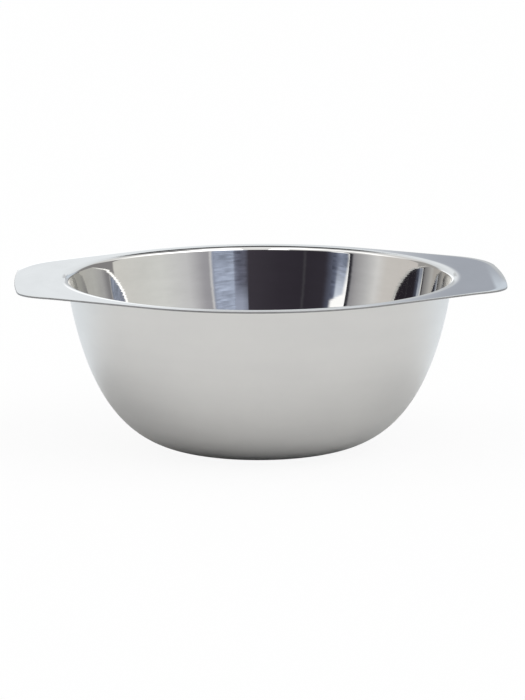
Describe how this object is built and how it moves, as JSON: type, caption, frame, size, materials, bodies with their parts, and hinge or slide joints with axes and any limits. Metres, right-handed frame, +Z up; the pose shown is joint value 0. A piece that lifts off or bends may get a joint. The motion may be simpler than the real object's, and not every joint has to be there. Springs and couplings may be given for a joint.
{
  "type": "soup bowl",
  "caption": "Round stainless steel soup bowl with a flat base, a curved wall, a flat rim and a lug on each side to hold it by.",
  "frame": {"origin": "middle of the flat base, on the surface that the bowl stands on", "axes": "+X through the lugs to the right one, +Y away from the viewer of the picture, +Z up out of the mouth"},
  "size_m": [0.1786, 0.153, 0.0625],
  "materials": {
    "bowl_steel": "satin outside, bright polished inside",
    "lug_steel": "bright polished"
  },
  "bodies": {
    "root": {"bowl_shell": "bowl_steel", "left_lug": "lug_steel", "right_lug": "lug_steel"}
  },
  "joints": []
}
